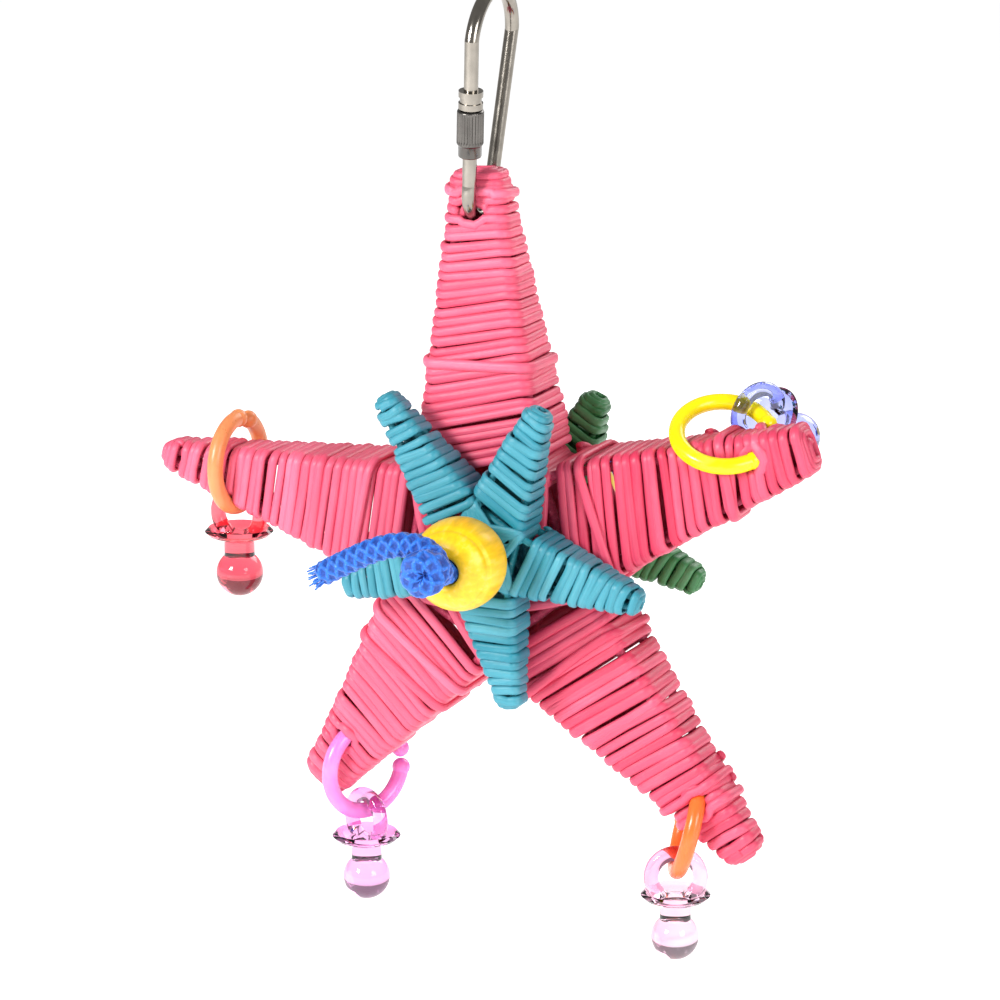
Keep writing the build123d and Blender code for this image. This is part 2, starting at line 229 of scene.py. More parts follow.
class Builder:
    """Collects grids of points, with UVs and a tone for each, and makes one object of them."""

    def __init__(self):
        self.points, self.uvs, self.tones, self.faces, self.caps = [], [], [], [], []
        self.count = 0

    def add(self, rings, u, v, tone, closed=False):
        """rings is rows x columns x 3; u runs along the rows in mm, v round the columns from 0 to 1."""
        rows, columns = rings.shape[:2]
        self.points.append(rings.reshape(-1, 3))
        uv = np.stack(np.broadcast_arrays(u[:, None], v[None, :]), axis=-1)
        self.uvs.append(uv.reshape(-1, 2))
        tone = np.asarray(tone, float).reshape(-1, 1)
        self.tones.append(np.broadcast_to(tone, (rows, columns)).reshape(-1))
        self.faces.append(grid_faces(rows, columns, closed) + self.count)
        if not closed:
            self.caps.append(np.arange(columns)[::-1] + self.count)
            self.caps.append(np.arange(columns) + self.count + (rows - 1) * columns)
        self.count += rows * columns

    def make(self, name, material):
        points = np.concatenate(self.points) * MM
        uvs = np.concatenate(self.uvs)
        tones = np.concatenate(self.tones)
        faces = np.concatenate(self.faces).tolist() + [cap.tolist() for cap in self.caps]
        mesh = bpy.data.meshes.new(name)
        mesh.from_pydata(points.tolist(), [], faces)
        layer = mesh.uv_layers.new(name="along")
        index = np.zeros(len(mesh.loops), np.int32)
        mesh.loops.foreach_get("vertex_index", index)
        layer.data.foreach_set("uv", uvs[index].astype(np.float32).ravel())
        attribute = mesh.attributes.new("tone", "FLOAT", "POINT")
        attribute.data.foreach_set("value", tones.astype(np.float32))
        bm = bmesh.new()
        bm.from_mesh(mesh)
        bmesh.ops.recalc_face_normals(bm, faces=bm.faces[:])
        bm.to_mesh(mesh)
        bm.free()
        mesh.shade_smooth()
        mesh.materials.append(material)
        obj = bpy.data.objects.new(name, mesh)
        bpy.context.scene.collection.objects.link(obj)
        return obj


def oval(width, thick, count=10):
    """A strand's section: a flattened superellipse, flat on its faces and round on its edges."""
    a = np.arange(count) * 2 * np.pi / count
    across = width / 2 * np.sign(np.cos(a)) * np.abs(np.cos(a)) ** 0.9
    out = thick / 2 * np.sign(np.sin(a)) * np.abs(np.sin(a)) ** 0.95
    return np.stack([across, out], axis=-1)


def length_along(points):
    """Distance run from the first point to each point."""
    steps = np.linalg.norm(np.diff(points, axis=0), axis=1)
    return np.concatenate([[0.0], np.cumsum(steps)])


def carry(builder, points, outward, profile, tone, width_scale=None, closed=False):
    """A profile carried along a path: each ring is point + across * first + out * second.

    Across is the cross product of the path's run and the outward direction, and out is square to both.
    """
    if closed:
        run = unit(np.roll(points, -1, axis=0) - np.roll(points, 1, axis=0))
    else:
        run = unit(np.gradient(points, axis=0))
    across = unit(np.cross(run, outward))
    out = np.cross(across, run)
    scale = np.ones(len(points)) if width_scale is None else width_scale
    rings = points[:, None] + across[:, None] * (profile[None, :, :1] * scale[:, None, None])
    rings = rings + out[:, None] * profile[None, :, 1:]
    v = np.arange(len(profile)) / len(profile)
    builder.add(rings, length_along(points), v, tone, closed)


# ------------------------------------------------------------------ materials

def new_material(name):
    material = bpy.data.materials.new(name)
    material.use_nodes = True
    tree = material.node_tree
    return material, tree, tree.nodes["Principled BSDF"]


def node(tree, kind, **values):
    made = tree.nodes.new(kind)
    for key, value in values.items():
        if key in made.inputs:
            made.inputs[key].default_value = value
        else:
            setattr(made, key, value)
    return made


def ramp(tree, factor, stops):
    """A colour ramp with the stops (place, colour)."""
    made = tree.nodes.new("ShaderNodeValToRGB")
    elements = made.color_ramp.elements
    while len(elements) < len(stops):
        elements.new(0.5)
    for element, (place, colour) in zip(elements, stops):
        element.position = place
        element.color = (*colour, 1.0)
    tree.links.new(factor, made.inputs["Fac"])
    return made.outputs["Color"]


def mix(tree, factor, first, second, mode="MIX"):
    made = tree.nodes.new("ShaderNodeMix")
    made.data_type = "RGBA"
    made.blend_type = mode
    for socket, value in ((made.inputs["Factor"], factor), (made.inputs[6], first), (made.inputs[7], second)):
        if isinstance(value, bpy.types.NodeSocket):
            tree.links.new(value, socket)
        elif isinstance(value, float):
            socket.default_value = value
        else:
            socket.default_value = (*value, 1.0)
    return made.outputs[2]


def bump(tree, shader, height, strength, distance):
    made = node(tree, "ShaderNodeBump", Strength=strength, Distance=distance)
    tree.links.new(height, made.inputs["Height"])
    tree.links.new(made.outputs["Normal"], shader.inputs["Normal"])
    return made


def shade(colour, factor):
    return tuple(min(1.0, channel * factor) for channel in colour)


def lighten(colour, amount):
    return tuple(channel + (1 - channel) * amount for channel in colour)


def vine(name, colour, dark_dye_and_shade):
    """Dyed split vine: fibres along the strand, uneven dye by turn, paler worn spots, satin; the tone also
    carries each arm's painted shade or painted light.
    """
    material, tree, shader = new_material(name)
    uv = tree.nodes.new("ShaderNodeUVMap")
    uv.uv_map = "along"
    stretch = node(tree, "ShaderNodeMapping")
    stretch.inputs["Scale"].default_value = (0.05, 16.0, 1.0)
    tree.links.new(uv.outputs["UV"], stretch.inputs["Vector"])
    fibre = node(tree, "ShaderNodeTexNoise", Scale=1.0, Detail=6.0, Roughness=0.65)
    tree.links.new(stretch.outputs["Vector"], fibre.inputs["Vector"])
    patch_map = node(tree, "ShaderNodeMapping")
    patch_map.inputs["Scale"].default_value = (0.09, 1.2, 1.0)
    tree.links.new(uv.outputs["UV"], patch_map.inputs["Vector"])
    patch = node(tree, "ShaderNodeTexNoise", Scale=1.0, Detail=3.0)
    tree.links.new(patch_map.outputs["Vector"], patch.inputs["Vector"])
    tone = node(tree, "ShaderNodeAttribute", attribute_name="tone")
    fibre_stops = [(0.30, shade(colour, 0.6)), (0.5, colour), (0.75, lighten(colour, 0.10))]
    fibre_colour = ramp(tree, fibre.outputs["Fac"], fibre_stops)
    patch_stops = [(0.3, shade(colour, 0.75)), (0.55, colour), (0.8, lighten(colour, 0.14))]
    patch_colour = ramp(tree, patch.outputs["Fac"], patch_stops)
    mixed = mix(tree, 0.4, fibre_colour, patch_colour)
    # low tone multiplies in the dark colour and high tone pales the dye: uneven dye by turn, plus painted
    # shade or painted light from the arm's tone
    dark = mix(tree, 1.0, mixed, dark_dye_and_shade, "MULTIPLY")
    toned = mix(tree, tone.outputs["Fac"], dark, mix(tree, 0.30, mixed, lighten(colour, 0.28)))
    tree.links.new(toned, shader.inputs["Base Color"])
    rough = node(tree, "ShaderNodeMapRange")
    rough.inputs["To Min"].default_value = 0.30
    rough.inputs["To Max"].default_value = 0.50
    tree.links.new(fibre.outputs["Fac"], rough.inputs["Value"])
    tree.links.new(rough.outputs["Result"], shader.inputs["Roughness"])
    shader.inputs["Specular IOR Level"].default_value = 0.45
    shader.inputs["Subsurface Weight"].default_value = 0.04
    shader.inputs["Subsurface Scale"].default_value = 0.0008
    shader.inputs["Subsurface Radius"].default_value = (1.0, 0.4, 0.3)
    bump(tree, shader, fibre.outputs["Fac"], 0.45, 0.0003)
    return material


def stick_material(name, colour):
    """Dyed round stick: uneven dye and pores on Object coordinates."""
    material, tree, shader = new_material(name)
    place = tree.nodes.new("ShaderNodeTexCoord")
    grain = node(tree, "ShaderNodeTexNoise", Scale=900.0, Detail=5.0, Roughness=0.7)
    tree.links.new(place.outputs["Object"], grain.inputs["Vector"])
    stops = [(0.3, shade(colour, 0.45)), (0.55, shade(colour, 0.8)), (0.75, lighten(colour, 0.2))]
    colours = ramp(tree, grain.outputs["Fac"], stops)
    tree.links.new(colours, shader.inputs["Base Color"])
    shader.inputs["Roughness"].default_value = 0.6
    bump(tree, shader, grain.outputs["Fac"], 0.5, 0.0003)
    return material


def plastic(name, colour, rough=0.22, through=0.0, scatter=0.3):
    """Moulded plastic: a faint flow pattern, fine scuffs, gloss, and light spread under its skin."""
    material, tree, shader = new_material(name)
    place = tree.nodes.new("ShaderNodeTexCoord")
    flow = node(tree, "ShaderNodeTexNoise", Scale=120.0, Detail=2.0)
    tree.links.new(place.outputs["Object"], flow.inputs["Vector"])
    stops = [(0.3, shade(colour, 0.88)), (0.6, colour), (0.8, lighten(colour, 0.08))]
    colours = ramp(tree, flow.outputs["Fac"], stops)
    tree.links.new(colours, shader.inputs["Base Color"])
    scuff = node(tree, "ShaderNodeTexNoise", Scale=1400.0, Detail=4.0)
    tree.links.new(place.outputs["Object"], scuff.inputs["Vector"])
    level = node(tree, "ShaderNodeMapRange")
    level.inputs["To Min"].default_value = rough * 0.7
    level.inputs["To Max"].default_value = rough * 1.4
    tree.links.new(scuff.outputs["Fac"], level.inputs["Value"])
    tree.links.new(level.outputs["Result"], shader.inputs["Roughness"])
    shader.inputs["Subsurface Weight"].default_value = scatter
    shader.inputs["Subsurface Scale"].default_value = 0.002
    shader.inputs["Subsurface Radius"].default_value = (1.0, 0.8, 0.5)
    shader.inputs["Transmission Weight"].default_value = through
    bump(tree, shader, scuff.outputs["Fac"], 0.06, 0.0002)
    return material


def clear(name, colour, rim):
    """Clear tinted acrylic: stronger tint in patches, smooth and glassy."""
    material, tree, shader = new_material(name)
    place = tree.nodes.new("ShaderNodeTexCoord")
    cloud = node(tree, "ShaderNodeTexNoise", Scale=70.0, Detail=1.5)
    tree.links.new(place.outputs["Object"], cloud.inputs["Vector"])
    colours = ramp(tree, cloud.outputs["Fac"], [(0.35, colour), (0.7, rim)])
    tree.links.new(colours, shader.inputs["Base Color"])
    shader.inputs["Roughness"].default_value = 0.02
    shader.inputs["IOR"].default_value = 1.47
    shader.inputs["Transmission Weight"].default_value = 1.0
    return material


def nickel(name, colour, rough):
    """Nickel plate: uneven haze in its colour, gloss and height."""
    material, tree, shader = new_material(name)
    place = tree.nodes.new("ShaderNodeTexCoord")
    haze = node(tree, "ShaderNodeTexNoise", Scale=260.0, Detail=5.0)
    tree.links.new(place.outputs["Object"], haze.inputs["Vector"])
    colours = ramp(tree, haze.outputs["Fac"], [(0.3, shade(colour, 0.75)), (0.7, colour)])
    tree.links.new(colours, shader.inputs["Base Color"])
    level = node(tree, "ShaderNodeMapRange")
    level.inputs["To Min"].default_value = rough * 0.6
    level.inputs["To Max"].default_value = rough * 1.6
    tree.links.new(haze.outputs["Fac"], level.inputs["Value"])
    tree.links.new(level.outputs["Result"], shader.inputs["Roughness"])
    shader.inputs["Metallic"].default_value = 1.0
    bump(tree, shader, haze.outputs["Fac"], 0.08, 0.0001)
    return material


def painted_wood(name, colour):
    """Painted turned bead: grain shows as faint lines through the paint, satin."""
    material, tree, shader = new_material(name)
    place = tree.nodes.new("ShaderNodeTexCoord")
    stretch = node(tree, "ShaderNodeMapping")
    stretch.inputs["Scale"].default_value = (1.0, 0.12, 1.0)
    tree.links.new(place.outputs["Object"], stretch.inputs["Vector"])
    grain = node(tree, "ShaderNodeTexNoise", Scale=700.0, Detail=5.0)
    tree.links.new(stretch.outputs["Vector"], grain.inputs["Vector"])
    stops = [(0.3, shade(colour, 0.8)), (0.55, colour), (0.8, lighten(colour, 0.12))]
    colours = ramp(tree, grain.outputs["Fac"], stops)
    tree.links.new(colours, shader.inputs["Base Color"])
    shader.inputs["Roughness"].default_value = 0.38
    shader.inputs["Coat Weight"].default_value = 0.25
    shader.inputs["Coat Roughness"].default_value = 0.25
    bump(tree, shader, grain.outputs["Fac"], 0.25, 0.0003)
    return material


def braid(name, colour):
    """Braided cord: fine uneven threads, with painted shade darkening the hollows between the plaits."""
    material, tree, shader = new_material(name)
    tone = node(tree, "ShaderNodeAttribute", attribute_name="tone")
    place = tree.nodes.new("ShaderNodeTexCoord")
    thread = node(tree, "ShaderNodeTexNoise", Scale=1800.0, Detail=3.0)
    tree.links.new(place.outputs["Object"], thread.inputs["Vector"])
    stops = [(0.3, shade(colour, 0.6)), (0.6, colour), (0.8, lighten(colour, 0.2))]
    threads = ramp(tree, thread.outputs["Fac"], stops)
    # painted shade: the threads are multiplied by a dark blue where the tone marks a hollow between plaits
    hollow_painted_shade = mix(tree, tone.outputs["Fac"], mix(tree, 1.0, threads, (0.25, 0.30, 0.45), "MULTIPLY"), threads)
    tree.links.new(hollow_painted_shade, shader.inputs["Base Color"])
    shader.inputs["Roughness"].default_value = 0.55
    shader.inputs["Sheen Weight"].default_value = 0.3
    shader.inputs["Sheen Roughness"].default_value = 0.4
    bump(tree, shader, thread.outputs["Fac"], 0.4, 0.0002)
    return material


# ------------------------------------------------------------------ star geometry

def arm_axes(star, k):
    """Arm k's directions in the star's plane: outward along it, and sideways towards the next arm."""
    a = math.radians(star["angles"][k])
    outward = np.array([math.cos(a), 0.0, math.sin(a)])
    side = np.array([-math.sin(a), 0.0, math.cos(a)])
    return outward, side


def arm_cage(star, k, along):
    """Side places and half depth of arm k's sticks at distances from the centre.

    Each runs in a straight line from where the sticks cross to the tip.
    """
    places = []
    depths = []
    tip_depth = star["stick"] + TIP_ROOM
    for neighbour, tip, sign in ((k, star["tips"][k][1], 1), ((k - 1) % 5, star["tips"][k][0], -1)):
        step = (star["angles"][(neighbour + 1) % 5] - star["angles"][neighbour]) % 360
        half = math.radians(step / 2)
        cross_along = star["cross"] * math.cos(half)
        part = (star["lengths"][k] - along) / (star["lengths"][k] - cross_along)
        places.append(tip + part * (sign * star["cross"] * math.sin(half) - tip))
        depths.append(tip_depth + part * star["depth"])
    return places[1], places[0], np.maximum(depths[0], depths[1])


def turn_template(arc_steps=6, face_steps=8, wall_steps=5):
    """One turn round four rounded corners, from the high back corner.

    It gives a side weight from 0 to 1, a depth weight from -1 to 1 and the angle of the outward direction.
    """
    corners = [(1, 1), (0, 1), (0, -1), (1, -1)]
    side, depth, angle = [], [], []
    for index, (u, v) in enumerate(corners):
        arc = np.linspace(0, 1, arc_steps, endpoint=False)
        side.append(np.full(arc_steps, float(u)))
        depth.append(np.full(arc_steps, float(v)))
        angle.append((index + arc) * np.pi / 2)
        steps = face_steps if index % 2 == 0 else wall_steps
        line = np.linspace(0, 1, steps, endpoint=False)
        nu, nv = corners[(index + 1) % 4]
        side.append(u + (nu - u) * line)
        depth.append(v + (nv - v) * line)
        angle.append(np.full(steps, (index + 1) * np.pi / 2))
    return np.concatenate(side), np.concatenate(depth), np.concatenate(angle)


def wander(rng, turns, per_turn, amount, count):
    """A smooth random line: values drawn a few to a turn and joined by straight lines."""
    knots = rng.normal(0, amount, int(turns * per_turn) + 3)
    return np.interp(np.linspace(0, len(knots) - 1, count), np.arange(len(knots)), knots)


def push_off(points, obstacles, arm_out):
    """Points nearer than they may be to an obstacle's line move straight away from it."""
    for line, need in obstacles:
        gaps = points[:, None, :] - line[None, :, :]
        distance = np.linalg.norm(gaps, axis=2)
        nearest = distance.argmin(axis=1)
        rows = np.arange(len(points))
        away = gaps[rows, nearest]
        along = away @ arm_out
        away = away * 0.35 + np.outer(along, arm_out) * 0.65
        d = distance[rows, nearest]
        points = points + unit(away) * np.clip(need - d, 0, None)[:, None]
    return points


def star_points(star, k, along, u, v):
    """Points of arm k from their distances along it, sideways and in depth."""
    outward, side = arm_axes(star, k)
    centre = np.array([star["centre"][0], star["middle"], star["centre"][1]])
    return centre + along[:, None] * outward + u[:, None] * side + v[:, None] * DEPTH_WAY


def wind_arm(builder, star, k, start, end, width, thick, pitch, rng, obstacles=(), base_tone=0.5, skew=0.0,
             uneven=0.5, raised=0.0):
    """A strand wound round arm k: a turn follows the cage's rounded section and moves out by the pitch."""
    outward, side = arm_axes(star, k)
    turns = (end - start) / pitch
    wu, wv, phi = turn_template()
    whole = int(math.ceil(turns))
    steps = len(wu)
    wu, wv, phi = np.tile(wu, whole), np.tile(wv, whole), np.tile(phi, whole)
    turn = np.arange(whole * steps) / steps
    count = len(turn)
    keep = turn <= turns
    along = start + turn * pitch + wander(rng, whole, 3, pitch * 0.17 * uneven * 2, count)
    along = along + skew * (wu - 0.5) * np.clip((end - along) / (end - start), 0, 1)
    along = np.clip(along, start - 2, end)
    low, high, depth = arm_cage(star, k, along)
    radius = star["stick"] + STICK_ROOM + thick / 2 + raised
    lift = np.abs(wander(rng, whole, 2, 0.28 * uneven * 2, count))
    reach = radius + lift
    u = low + (high - low) * wu + reach * np.cos(phi)
    v = depth * wv + reach * np.sin(phi)
    points = push_off(star_points(star, k, along, u, v), obstacles, outward)
    normal = np.cos(phi)[:, None] * side + np.sin(phi)[:, None] * DEPTH_WAY
    tone = np.clip(base_tone + wander(rng, whole, 1.5, 0.16, count), 0, 1)
    wide = 1 + wander(rng, whole, 1, 0.08, count)
    carry(builder, points[keep], normal[keep], oval(width, thick), tone[keep], wide[keep])


def close_tip(builder, star, k, start, reach, width, thick, tone, turns=3.0):
    """The strand's last turns, drawn in to a blunt point: the section shrinks to nothing as it moves out."""
    outward, side = arm_axes(star, k)
    wu, wv, phi = turn_template(5, 5, 4)
    steps = len(wu)
    whole = int(math.ceil(turns))
    wu, wv, phi = np.tile(wu, whole), np.tile(wv, whole), np.tile(phi, whole)
    turn = np.arange(whole * steps) / steps
    part = np.clip(turn / turns, 0, 1)
    low, high, depth = arm_cage(star, k, np.full(len(turn), start))
    size = np.sqrt(np.clip(1 - part ** 1.6, 0, 1))
    middle = (low + high) / 2
    radius = (star["stick"] + STICK_ROOM + thick / 2) * (0.25 + 0.75 * size)
    u = middle + (low - middle + (high - low) * wu) * size + radius * np.cos(phi)
    v = depth * size * wv + radius * np.sin(phi)
    along = start + reach * part
    points = star_points(star, k, along, u, v)
    normal = np.cos(phi)[:, None] * side + np.sin(phi)[:, None] * DEPTH_WAY
    normal = unit(normal + part[:, None] * 0.9 * outward)
    keep = turn <= turns
    carry(builder, points[keep], normal[keep], oval(width, thick), np.full(keep.sum(), tone))


def lay_loop(builder, origin, across, slide, span, depth, radius, offset, bow, width, thick, tone, lift=0.0):
    """One closed turn between two notches: along one face, round the far notch and back along the other."""
    wu, wv, phi = turn_template(6, 16, 6)
    fan = offset * (0.42 + bow * (1 - (2 * wu - 1) ** 2))
    hump = lift * np.sin(np.pi * wu)
    u = span * wu + radius * np.cos(phi)
    v = (depth + hump) * wv + radius * np.sin(phi)
    points = origin + u[:, None] * across + fan[:, None] * slide + v[:, None] * DEPTH_WAY
    normal = np.cos(phi)[:, None] * across + np.sin(phi)[:, None] * DEPTH_WAY
    carry(builder, points, normal, oval(width, thick), np.full(len(points), tone), closed=True)


def notch(star, k):
    """Where the sticks cross between arm k and the next."""
    a = star["angles"][k % 5]
    step = (star["angles"][(k + 1) % 5] - a) % 360
    middle = math.radians(a + step / 2)
    return np.array([star["centre"][0] + star["cross"] * math.cos(middle), star["middle"],
                     star["centre"][1] + star["cross"] * math.sin(middle)])


def cross_strands(star, width, thick, rng, count, spread, base_tone):
    """Loops laid from each notch to the next but one, fanned out, which cross over the star's middle."""
    builder = Builder()
    for k in range(5):
        first, second = notch(star, k), notch(star, k + 2)
        across = unit(second - first)
        slide = np.array([-across[2], 0.0, across[0]])
        span = float(np.linalg.norm(second - first))
        for i in range(count):
            offset = (i - (count - 1) / 2) * spread + rng.normal(0, 0.12)
            tone = float(np.clip(base_tone + rng.normal(0, 0.14), 0, 1))
            lay_loop(builder, first, across, slide, span, star["depth"] + star["stick"] * 0.6,
                     star["stick"] + thick / 2, offset, 0.58, width, thick, tone, lift=0.22 * ((k + i) % 3))
    return builder


def ring_line(name, count=72):
    """Points of a ring's middle line."""
    centre, across, up = (np.array(part) for part in RINGS[name])
    across = unit(across)
    up = unit(up - across * (up @ across))
    a = np.linspace(0, 2 * np.pi, count, endpoint=False)[:, None]
    return centre + RING_R * (np.cos(a) * across + np.sin(a) * up)


def link_foot_line():
    """The quick link's low bow, a half circle with its legs' ends, turned about its foot by each swing."""
    tilt = math.radians(LINK_LEAN)
    a = np.linspace(np.pi, 2 * np.pi, 25)
    y = FOOT_R * np.cos(a)
    z = LINK_WIRE_R - LINK_DEPTH + FOOT_R + FOOT_R * np.sin(a)
    leg = np.linspace(0, LEG_RUN, LEG_RUN + 1)
    y = np.concatenate([-LEG_Y - leg[::-1] * LEG_SPLAY, y, LEG_Y + leg * LEG_SPLAY])
    z = np.concatenate([LEG_Z + leg[::-1], z, LEG_Z + leg])
    line = np.stack([z * math.sin(tilt), y, z * math.cos(tilt)], axis=-1)
    foot = line[np.abs(y).argmin()]
    turned = []
    x, z = (line - foot)[:, 0], (line - foot)[:, 2]
    for swing in np.radians(LINK_SWINGS):
        swung_x = x * math.cos(swing) + z * math.sin(swing)
        swung_z = z * math.cos(swing) - x * math.sin(swing)
        turned.append(foot * (1, 0, 1) + np.stack([swung_x, y, swung_z], axis=-1))
    return np.concatenate(turned)


# ------------------------------------------------------------------ cords

def smooth_route(name, points):
    """The route as a NURBS spline, and the points that it passes."""
    curve = bpy.data.curves.new(name, "CURVE")
    curve.dimensions = "3D"
    spline = curve.splines.new("NURBS")
    spline.points.add(len(points) - 1)
    for target, point in zip(spline.points, points):
        target.co = (*point, 1.0)
    spline.order_u = 3
    spline.use_endpoint_u = True
    spline.resolution_u = 10
    obj = bpy.data.objects.new(name, curve)
    bpy.context.scene.collection.objects.link(obj)
    bpy.context.view_layer.update()
    mesh = bpy.data.meshes.new_from_object(obj)
    path = np.zeros(len(mesh.vertices) * 3)
    mesh.vertices.foreach_get("co", path)
    bpy.data.objects.remove(obj)
    bpy.data.curves.remove(curve)
    bpy.data.meshes.remove(mesh)
    return path.reshape(-1, 3)


def even(path, step):
    """The same line with evenly spaced points."""
    run = length_along(path)
    count = max(8, int(run[-1] / step))
    places = np.linspace(0, run[-1], count)
    return np.stack([np.interp(places, run, path[:, axis]) for axis in range(3)], axis=-1)


def steady_frame(points):
    """Directions across a path that turn as little as the path lets them, carried from station to station."""
    run = unit(np.gradient(points, axis=0))
    across = np.zeros_like(points)
    start = np.cross(run[0], (0.0, 0.0, 1.0))
    across[0] = start / np.linalg.norm(start)
    for i in range(1, len(points)):
        moved = across[i - 1] - run[i] * (across[i - 1] @ run[i])
        across[i] = moved / np.linalg.norm(moved)
    return across, np.cross(run, across)


def braided(builder, path, radius, plaits=4, pitch=11.0):
    """A tube whose radius rises on two crossing sets of plaits, each set over the other in turn."""
    points = even(path, 0.16)
    across, out = steady_frame(points)
    run = length_along(points)
    columns = 56
    a = np.arange(columns) * 2 * np.pi / columns
    turn = run[:, None] * 2 * np.pi / pitch
    right = np.cos(plaits * (a[None, :] - turn))
    left = np.cos(plaits * (a[None, :] + turn))
    over = np.cos(plaits * 2 * turn) * 0.5 * np.ones_like(right)
    height = np.maximum(right * (0.75 + 0.5 * over), left * (0.75 - 0.5 * over))
    level = np.clip((height + 0.1) / 1.1, 0, 1)
    wide = radius * (0.84 + 0.19 * np.sqrt(level))
    end = np.clip(np.minimum(run, run[-1] - run) / 1.2, 0, 1)
    wide = wide * (0.55 + 0.45 * np.sqrt(end))[:, None]
    rings = points[:, None] + across[:, None] * (wide * np.cos(a))[..., None]
    rings = rings + out[:, None] * (wide * np.sin(a))[..., None]
    builder.add(rings, run, a / (2 * np.pi), 0.5)
    # the plait height is kept as the tone, which the braid material turns into painted shade in the hollows
    builder.tones[-1] = level.reshape(-1)


def frayed(builder, path, radius, rng, count=30):
    """Loose threads that spread from a rope's cut end."""
    tip = path[-1]
    run = unit(path[-1] - path[-4])
    side = unit(np.cross(run, (0.0, 0.0, 1.0)))
    up = np.cross(run, side)
    for _ in range(count):
        a, r = rng.uniform(0, 2 * np.pi), radius * math.sqrt(rng.uniform(0, 1)) * 0.85
        base = tip - run * 1.2 + side * r * math.cos(a) + up * r * math.sin(a)
        reach = rng.uniform(1.2, 3.2)
        spread = (side * math.cos(a) + up * math.sin(a)) * rng.uniform(0.1, 0.8)
        t = np.linspace(0, 1, 7)[:, None]
        points = base + run * (1.2 + reach) * t + spread * t ** 2 * reach * 0.5
        outward = np.broadcast_to(side if abs(math.cos(a)) < 0.7 else up, points.shape)
        carry(builder, points, outward, oval(0.42, 0.42, 6), np.full(7, rng.uniform(0.5, 1.0)))


# ------------------------------------------------------------------ turned pieces

def lathe(builder, origin, axis, profile, tone=0.5, columns=72):
    """A closed profile of (radius, place along the axis) turned round an axis."""
    axis = unit(np.array(axis, float))
    other = np.array([1.0, 0.0, 0.0]) if abs(axis[0]) < 0.8 else np.array([0.0, 0.0, 1.0])
    first = unit(np.cross(axis, other))
    second = np.cross(axis, first)
    a = np.arange(columns) * 2 * np.pi / columns
    circle = np.cos(a)[:, None] * first + np.sin(a)[:, None] * second
    profile = np.array(profile, float)
    rings = np.array(origin) + profile[:, None, 1:] * axis + profile[:, None, :1] * circle[None]
    builder.add(rings, length_along(profile), a / (2 * np.pi), tone, closed=True)


def bead_profile():
    """Bead: a bore, a rounded lip at each end, and a bulged body with a turned groove either side."""
    t = np.linspace(-1, 1, 41)
    body = BEAD_R * np.sqrt(np.clip(1 - 0.70 * np.abs(t) ** 2.3, 0, 1))
    groove = 0.55 * np.exp(-((t - 0.62) / 0.035) ** 2) + 0.45 * np.exp(-((t + 0.68) / 0.035) ** 2)
    outer = np.stack([body - groove, t * BEAD_HALF], axis=-1)
    lips = np.array([(5.4, 9.5), (4.2, 9.3), (3.5, 8.8), (3.3, 8.0)])
    low = lips[::-1] * (1, -1)
    return np.concatenate([low, outer, lips])


def fluted_nut(builder):
    """The sleeve nut: a stepped tube with straight flutes on its grip.

    A flute takes a cosine of the angle off the radius, and fades out at the grip's ends.
    """
    axis = unit(np.array(NUT_AXIS))
    first = unit(np.cross(axis, (1.0, 0.0, 0.0)))
    second = np.cross(axis, first)
    columns = NUT_FLUTES * 6
    a = np.arange(columns) * 2 * np.pi / columns
    mouth = [(2.75, 0.0), (3.05, 0.12), (3.2, 0.35)]
    grip = [(NUT_R, z) for z in np.linspace(GRIP_START, GRIP_END, 18)]
    step = [(3.2, 8.7), (3.0, 8.95), (NUT_COLLAR_R, 9.1)]
    collar = [(NUT_COLLAR_R, 11.6), (2.75, 11.85), (2.5, NUT_LENGTH)]
    bore = [(1.95, NUT_LENGTH), (NUT_BORE_R, 11.8), (NUT_BORE_R, 0.2), (1.95, 0.0)]
    profile = np.array(mouth + grip + step + collar + bore)
    starts = np.clip((profile[:, 1] - GRIP_START) / GRIP_FADE, 0, 1)
    ends = np.clip((GRIP_END - profile[:, 1]) / GRIP_FADE, 0, 1)
    fade = starts * ends * (profile[:, 0] > NUT_COLLAR_R + 0.15)
    flutes = (0.5 - 0.5 * np.cos(NUT_FLUTES * a))[None, :] ** 0.7
    radius = profile[:, :1] - FLUTE_DEPTH * fade[:, None] * flutes
    circle = np.cos(a)[:, None] * first + np.sin(a)[:, None] * second
    rings = np.array(NUT_TOP) + profile[:, None, 1:] * axis + radius[..., None] * circle[None]
    builder.add(rings, profile[:, 1], a / (2 * np.pi), 0.5, closed=True)


def give(material, *nodes):
    """CAD nodes that stay get this material in every slot."""
    for name in nodes:
        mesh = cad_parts[name].data
        if not mesh.materials:
            mesh.materials.append(material)
        for index in range(len(mesh.materials)):
            mesh.materials[index] = material
        if name.startswith(("ring", "charm")):
            mesh.shade_smooth()


def finish_piece(obj, body, slot, *nodes):
    """The piece stands for the nodes, which it hides, and rides on the body. The slot is not used."""
    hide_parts(*nodes)
    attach(obj, body)


def random_for(word):
    """Random draws of a piece's own, which do not depend on the others'."""
    spelled = sum(ord(letter) * (i + 1) for i, letter in enumerate(word))
    return np.random.default_rng(settings().winding.seed * 1000 + spelled)


# ------------------------------------------------------------------ operators

